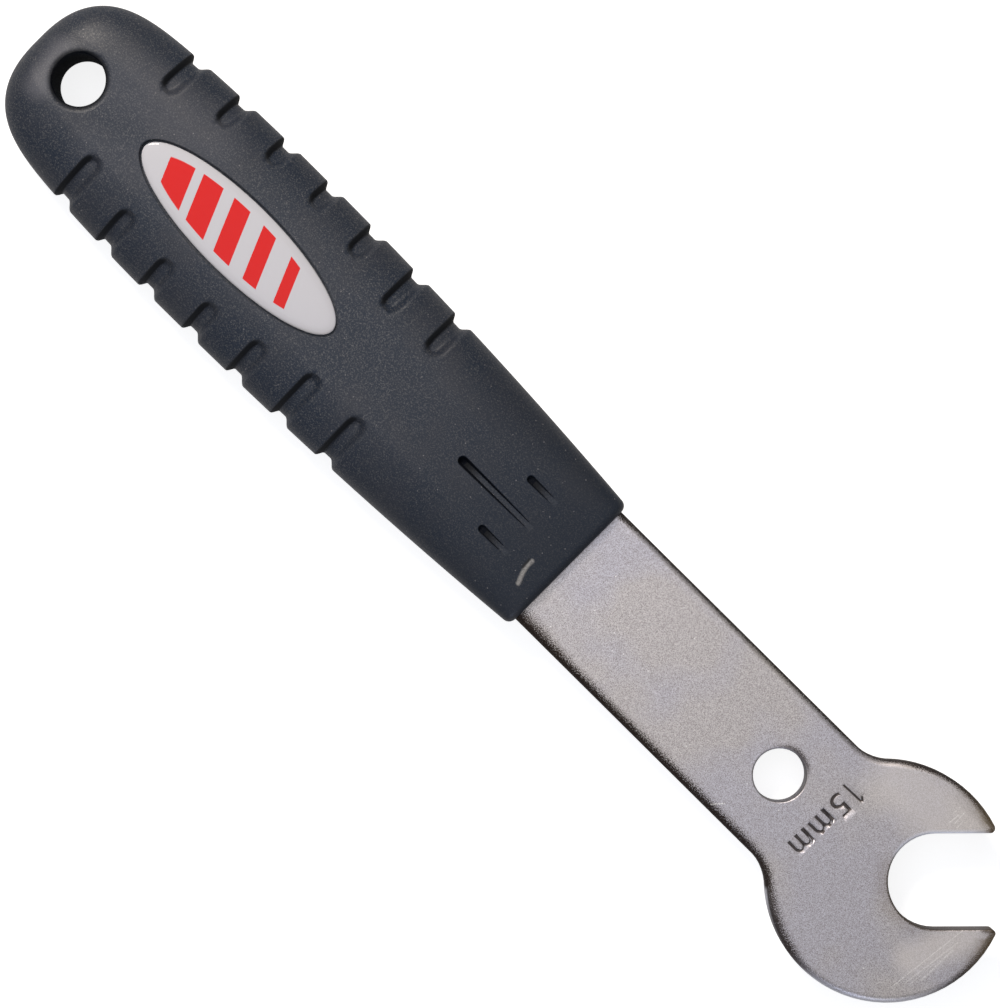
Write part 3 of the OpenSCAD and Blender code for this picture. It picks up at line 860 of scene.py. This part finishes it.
def grip_body(settings):
    """Outer skin of the grip: a grid rolled into a tube and shaped by the grip's law."""
    places = ring_places()
    corners = 4 * (QUARTER_TOP + QUARTER_SIDE)
    bm = bmesh.new()
    bmesh.ops.create_grid(bm, x_segments=len(places) - 1, y_segments=corners, size=1)
    bm.verts.ensure_lookup_table()
    columns = len(places)
    for j, x in enumerate(places):
        top = quarter_angles(x)
        half_turn = top + [math.pi - a for a in reversed(top[:-1])]
        ring = half_turn + [a + math.pi for a in half_turn[1:]]
        for i, a in enumerate(ring):
            bm.verts[i * columns + j].co = skin_point(x, a, settings)
    bmesh.ops.remove_doubles(bm, verts=bm.verts, dist=SKIN_MERGE)
    rim = [e for e in bm.edges if e.is_boundary]
    bmesh.ops.contextual_create(bm, geom=rim)
    bmesh.ops.recalc_face_normals(bm, faces=bm.faces)
    return bm


def tang_pocket():
    """What the tang leaves free inside the grip, open at the front, with posts in the key holes."""
    half = SHANK_HALF + MOULD_GAP
    rise = BLADE_TOP + MOULD_GAP
    back = TANG_L + MOULD_GAP
    bm = bmesh.new()
    bmesh.ops.create_cube(bm, size=2)
    bmesh.ops.scale(bm, verts=bm.verts, vec=((back + 1) / 2, half, rise))
    bmesh.ops.translate(bm, verts=bm.verts, vec=((1 - back) / 2, 0, 0))
    long_edges = [e for e in bm.edges if abs(e.verts[0].co.x - e.verts[1].co.x) > 1]
    bmesh.ops.bevel(bm, geom=long_edges, offset=RIM_R, segments=4, affect="EDGES", profile=0.5,
                    material=-1)
    pocket = linked("pocket", bm)
    posts = []
    for x in KEY_X:
        post = bmesh.new()
        bmesh.ops.create_cone(post, cap_ends=True, segments=48, radius1=KEY_R - MOULD_GAP,
                              radius2=KEY_R - MOULD_GAP, depth=2 * rise + 1)
        bmesh.ops.translate(post, verts=post.verts, vec=(x, 0, 0))
        posts.append(post)
    cut_away(pocket, *posts)
    bm = bmesh.new()
    bm.from_mesh(pocket.data)
    bpy.data.objects.remove(pocket)
    return bm


def spun(profile, segments):
    """Closed solid of revolution about Z, from points (radius, height) between its two poles."""
    bm = bmesh.new()
    verts = [bm.verts.new((r, 0, z)) for r, z in profile]
    edges = [bm.edges.new(pair) for pair in zip(verts, verts[1:])]
    bmesh.ops.spin(bm, geom=verts + edges, axis=(0, 0, 1), cent=(0, 0, 0), angle=math.tau,
                   steps=segments, use_merge=True)
    bmesh.ops.remove_doubles(bm, verts=bm.verts, dist=MERGE)
    bmesh.ops.recalc_face_normals(bm, faces=bm.faces)
    return bm


def arc(centre, radius, start, end, steps):
    """Points (radius, height) along an arc, angles in degrees."""
    return [(centre[0] + radius * math.cos(math.radians(start + (end - start) * i / steps)),
             centre[1] + radius * math.sin(math.radians(start + (end - start) * i / steps)))
            for i in range(steps + 1)]


def hang_bore():
    """Cutter of the hanging hole, whose rims are rounded and follow the grip's face."""
    rise = half_h(HANG_X)
    upper = arc((HANG_R + HANG_RIM, rise - HANG_RIM), HANG_RIM, 180, 92, 8)
    lower = [(r, -z) for r, z in reversed(upper)]
    far = HANG_R + HANG_RIM
    profile = [(0, -rise - 3), (far, -rise - 3), *lower, *upper, (far, rise + 3), (0, rise + 3)]
    bm = spun(profile, 96)
    bmesh.ops.translate(bm, verts=bm.verts, vec=(HANG_X, 0, 0))
    for v in bm.verts:
        if abs(v.co.z) > 1:
            v.co.z += math.copysign(half_h(v.co.x) - rise, v.co.z)
    return bm


def front_slot(y, start, settings):
    """Cutter of a front slot: level floor, drafted walls and a soft rim that follows the ramp."""
    floor_half = settings.slot_floor / MM / 2
    floor_z = crown_h(-SLOT_RUNOUT)
    turns, runs = 20, 40
    # The path of its wall: along one side, round the closed end and back along the other side
    path = [(1 - i / runs, -90) for i in range(runs)]
    path += [(0, -90 - 180 * i / turns) for i in range(turns + 1)]
    path += [((i + 1) / runs, -270) for i in range(runs)]
    rows = 7
    bm = bmesh.new()
    bmesh.ops.create_grid(bm, x_segments=len(path) - 1, y_segments=rows - 1, size=1)
    bm.verts.ensure_lookup_table()
    end_half = floor_half + SLOT_DRAFT * (crown_h(-start) - floor_z)
    for j, (along, heading) in enumerate(path):
        base_x = end_half - start + along * (start - end_half + 1)
        way = Vector((math.cos(math.radians(heading)), math.sin(math.radians(heading))))
        skin = crown_h(base_x + way.x * end_half)
        depth = max(0, skin - floor_z)
        lip = min(SLOT_LIP, depth / 2)
        wall = floor_half + SLOT_DRAFT * (depth - lip)
        high = max(skin, floor_z) + 1
        section = ((0, floor_z), (floor_half - 0.1, floor_z),
                   (floor_half, floor_z + min(0.08, depth / 3)), (wall, floor_z + depth - lip),
                   (wall + lip, floor_z + depth + 0.02), (wall + lip, high), (0, high))
        for i, (half, z) in enumerate(section):
            bm.verts[i * len(path) + j].co = (base_x + way.x * half, y + way.y * half, z)
    bmesh.ops.remove_doubles(bm, verts=bm.verts, dist=MERGE)
    bmesh.ops.contextual_create(bm, geom=[e for e in bm.edges if e.is_boundary])
    bmesh.ops.recalc_face_normals(bm, faces=bm.faces)
    return bm


def badge_recess():
    """Cutter of the oval recess, with a broken rim."""
    half_l = BADGE_L / 2 + BADGE_GAP
    share = (BADGE_W + 2 * BADGE_GAP) / (BADGE_L + 2 * BADGE_GAP)
    rim = 0.15
    floor_z = GRIP_RISE - RECESS_DEPTH
    profile = [(0, floor_z), (half_l, floor_z)]
    profile += arc((half_l + rim, GRIP_RISE - rim), rim, 180, 95, 5)
    profile += [(half_l + rim, GRIP_RISE + 1), (0, GRIP_RISE + 1)]
    bm = spun(profile, OVAL_SEGMENTS)
    bmesh.ops.scale(bm, verts=bm.verts, vec=(1, share, 1))
    bmesh.ops.translate(bm, verts=bm.verts, vec=(BADGE_X, 0, 0))
    return bm


class PEDALWRENCH_OT_blade(bpy.types.Operator):
    """Build the punched and plated blade with its stamped size"""

    bl_idname = "pedal_wrench.blade"
    bl_label = "Blade"

    def execute(self, context):
        settings = context.scene.wrench_blade
        bm = bmesh.new()
        bm.from_mesh(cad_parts["wrench_blade"].data)
        bmesh.ops.transform(bm, matrix=TO_TOOL, verts=bm.verts)
        bmesh.ops.remove_doubles(bm, verts=bm.verts, dist=MERGE)
        bmesh.ops.dissolve_limit(bm, angle_limit=math.radians(0.02), verts=bm.verts, edges=bm.edges)
        piece = linked("blade", bm)
        cut_away(piece, *(figure_cutter(*figure, settings) for figure in STAMP), crossing=True)
        if len(piece.data.polygons) < FEWEST_FACES:
            raise RuntimeError("the size mark couldn't be cut into the blade")
        bm = bmesh.new()
        bm.from_mesh(piece.data)
        # The cuts run across the blade that shows, and then along its faces
        for i in range(int((HEAD_X + HEAD_R) / CUT_PITCH)):
            geom = list(bm.verts) + list(bm.edges) + list(bm.faces)
            bmesh.ops.bisect_plane(bm, geom=geom, dist=1e-5, plane_no=(1, 0, 0),
                                   plane_co=(CUT_FIRST_X + CUT_PITCH * i, 0, 0))
        for i in range(CUTS_ACROSS):
            faces = [f for f in bm.faces
                     if abs(f.normal.z) > 0.9999 and f.calc_center_median().x > 0]
            edges = list({e for f in faces for e in f.edges})
            verts = list({v for f in faces for v in f.verts})
            bmesh.ops.bisect_plane(bm, geom=verts + edges + faces, dist=1e-5, plane_no=(0, 1, 0),
                                   plane_co=(0, CUT_FIRST_Y + CUT_PITCH * i, 0))
        bm.to_mesh(piece.data)
        bm.free()
        paint_blade(piece)
        shade(piece, angle=32)
        piece.data.transform(TO_ROW)
        finish_piece(piece, plated_steel(settings), "wrench_blade")
        return {"FINISHED"}


class PEDALWRENCH_OT_grip(bpy.types.Operator):
    """Build the moulded grip with its notches, slots, recess and hanging hole"""

    bl_idname = "pedal_wrench.grip"
    bl_label = "Grip"

    def execute(self, context):
        settings = context.scene.wrench_grip
        piece = linked("moulded_grip", grip_body(settings))
        cut_away(piece, tang_pocket(), hang_bore(), badge_recess(),
                 *(front_slot(y, start, settings) for y, start in SLOTS))
        shade(piece, angle=40)
        hollow = [in_hollow(face.center, face.normal) for face in piece.data.polygons]
        # Painted shade on the grip's points, darkest on the notches' steep walls
        layer = piece.data.attributes.new("painted_shade", "FLOAT", "POINT")
        layer.data.foreach_set("value", [painted_shade_at(v.co, v.normal) for v in piece.data.vertices])
        piece.data.transform(TO_ROW)
        finish_piece(piece, moulded_plastic(settings), "grip")
        # The walls of the bore and the slots get the nearly black copy of the plastic: painted
        # shade
        piece.data.materials.append(shaded_plastic(settings))
        piece.data.polygons.foreach_set("material_index", [int(share) for share in hollow])
        return {"FINISHED"}


class PEDALWRENCH_OT_badge(bpy.types.Operator):
    """Build the domed oval label in the grip's recess"""

    bl_idname = "pedal_wrench.badge"
    bl_label = "Badge"

    def execute(self, context):
        settings = context.scene.wrench_badge
        edge = settings.edge / MM
        dome = settings.dome / MM
        half = BADGE_L / 2
        # The dome runs flat in the middle and rolls over at its edge
        shoulder = 0.6 * edge
        shares = (0.9985, 0.994, 0.986, 0.974, 0.955, 0.93, 0.89, 0.83, 0.74, 0.6, 0.4, 0.2)
        profile = [(0, 0), (half, 0), (half, shoulder)]
        profile += [(half * share, shoulder + (edge + dome - shoulder) * math.sqrt(1 - share ** 3))
                    for share in shares]
        profile.append((0, edge + dome))
        bm = spun(profile, OVAL_SEGMENTS)
        bmesh.ops.scale(bm, verts=bm.verts, vec=(1, BADGE_W / BADGE_L, 1))
        bmesh.ops.translate(bm, verts=bm.verts, vec=(BADGE_X, 0, GRIP_RISE - RECESS_DEPTH))
        piece = linked("domed_badge", bm)
        shade(piece, angle=60)
        piece.data.transform(TO_ROW)
        finish_piece(piece, domed_label(settings), "badge")
        return {"FINISHED"}


# Strength of the white room as the metal mirrors it
ROOM_IN_METAL = 0.42
# The same for the floor, seen in the steep walls of the grip's hollows
FLOOR_IN_GLOSS = 0.2
# Share of the floor's white that doesn't come from the lamps, so that the shadow on it stays faint
PAPER_WHITE = 0.84
# Half the floor's width, in metres
FLOOR_HALF = 4
# The camera stands above the tool and is turned so that the tool lies across its view
CAMERA_PLACE = (-0.00044, -0.00072, 0.607)
CAMERA_TURN = math.radians(44.78)


def shown_white(tree, in_gloss):
    """1 to the camera and through glass, and in_gloss to a mirrored ray."""
    path = add_node(tree, "LightPath")
    seen = add_node(tree, "Math", {
        0: path.outputs["Is Camera Ray"], 1: path.outputs["Is Transmission Ray"]},
        operation="MAXIMUM")
    mirrored = add_node(tree, "Math", {0: path.outputs["Is Glossy Ray"], 1: in_gloss},
                        operation="MULTIPLY")
    return add_node(tree, "Math", {0: seen, 1: mirrored}, operation="MAXIMUM")


def softbox(name, place, target, size, watts, tint):
    """A round lamp that faces its target."""
    lamp = bpy.data.lights.new(name, "AREA")
    lamp.shape = "DISK"
    lamp.size = size
    lamp.energy = watts
    lamp.color = linear(tint)[:3]
    holder = bpy.data.objects.new(name, lamp)
    holder.location = place
    holder.rotation_euler = (Vector(target) - Vector(place)).to_track_quat("-Z", "Y").to_euler()
    bpy.context.scene.collection.objects.link(holder)


class PEDALWRENCH_OT_stage(bpy.types.Operator):
    """Set up the floor, the lamps, the room and the camera"""

    bl_idname = "pedal_wrench.stage"
    bl_label = "Stage"

    def execute(self, context):
        settings = context.scene.wrench_stage
        scene = context.scene
        bm = bmesh.new()
        bmesh.ops.create_grid(bm, x_segments=4, y_segments=4, size=FLOOR_HALF)
        floor = linked("floor", bm)
        material, tree = new_material("Pale studio paper")
        seen = shown_white(tree, FLOOR_IN_GLOSS)
        white = add_node(tree, "Math", {0: seen, 1: PAPER_WHITE}, operation="MULTIPLY")
        shader = add_node(tree, "BsdfPrincipled", {
            "Base Color": settings.floor, "Roughness": 0.9,
            "Emission Color": (1, 1, 1, 1), "Emission Strength": white})
        add_node(tree, "OutputMaterial", {"Surface": shader})
        floor.data.materials.append(material)

        world = bpy.data.worlds.new("Room")
        world.use_nodes = True
        tree = world.node_tree
        tree.nodes.clear()
        white = shown_white(tree, ROOM_IN_METAL)
        strength = add_node(tree, "Math", {0: white, 1: settings.ambient},
                            operation="MAXIMUM")
        room = add_node(tree, "Background", {"Color": (1, 1, 1, 1), "Strength": strength})
        add_node(tree, "OutputWorld", {"Surface": room})
        scene.world = world

        softbox("Key", (-0.66, 0.26, 0.78), (-0.02, 0, 0), 0.34, settings.key, "#FFF5EA")
        softbox("Overhead", (-0.26, 0, 1.1), (-0.02, 0, 0), 0.95, settings.overhead, "#EEF2FF")
        softbox("Fill", (0.45, -0.44, 0.3), (0.05, 0, 0), 0.3, settings.fill, "#DCE6FF")

        camera = bpy.data.objects.new("Camera", bpy.data.cameras.new("Camera"))
        camera.data.lens = settings.lens
        camera.data.clip_start = 0.01
        camera.location = CAMERA_PLACE
        camera.rotation_euler = (0, 0, CAMERA_TURN)
        scene.collection.objects.link(camera)
        scene.camera = camera
        scene.view_settings.view_transform = "Standard"
        return {"FINISHED"}


class PEDALWRENCH_PT_panel(bpy.types.Panel):
    bl_idname = "PEDALWRENCH_PT_panel"
    bl_label = "Pedal wrench"
    bl_space_type = "VIEW_3D"
    bl_region_type = "UI"
    bl_category = "Pedal wrench"

    def draw(self, context):
        for operator, group in OPERATORS:
            column = self.layout.column()
            column.operator(operator.bl_idname)
            settings = getattr(context.scene, group)
            for name in settings.__annotations__:
                column.prop(settings, name)


GROUPS = {
    "wrench_blade": BladeSettings,
    "wrench_grip": GripSettings,
    "wrench_badge": BadgeSettings,
    "wrench_stage": StageSettings,
}
OPERATORS = (
    (PEDALWRENCH_OT_stage, "wrench_stage"),
    (PEDALWRENCH_OT_blade, "wrench_blade"),
    (PEDALWRENCH_OT_grip, "wrench_grip"),
    (PEDALWRENCH_OT_badge, "wrench_badge"),
)
CLASSES = (*GROUPS.values(), *(operator for operator, _ in OPERATORS), PEDALWRENCH_PT_panel)


def register():
    for cls in CLASSES:
        bpy.utils.register_class(cls)
    for name, group in GROUPS.items():
        setattr(bpy.types.Scene, name, PointerProperty(type=group))


def unregister():
    for name in GROUPS:
        delattr(bpy.types.Scene, name)
    for cls in reversed(CLASSES):
        bpy.utils.unregister_class(cls)


def main():
    register()
    bpy.ops.pedal_wrench.stage()
    bpy.ops.pedal_wrench.blade()
    bpy.ops.pedal_wrench.grip()
    bpy.ops.pedal_wrench.badge()


if __name__ == "__main__":
    main()
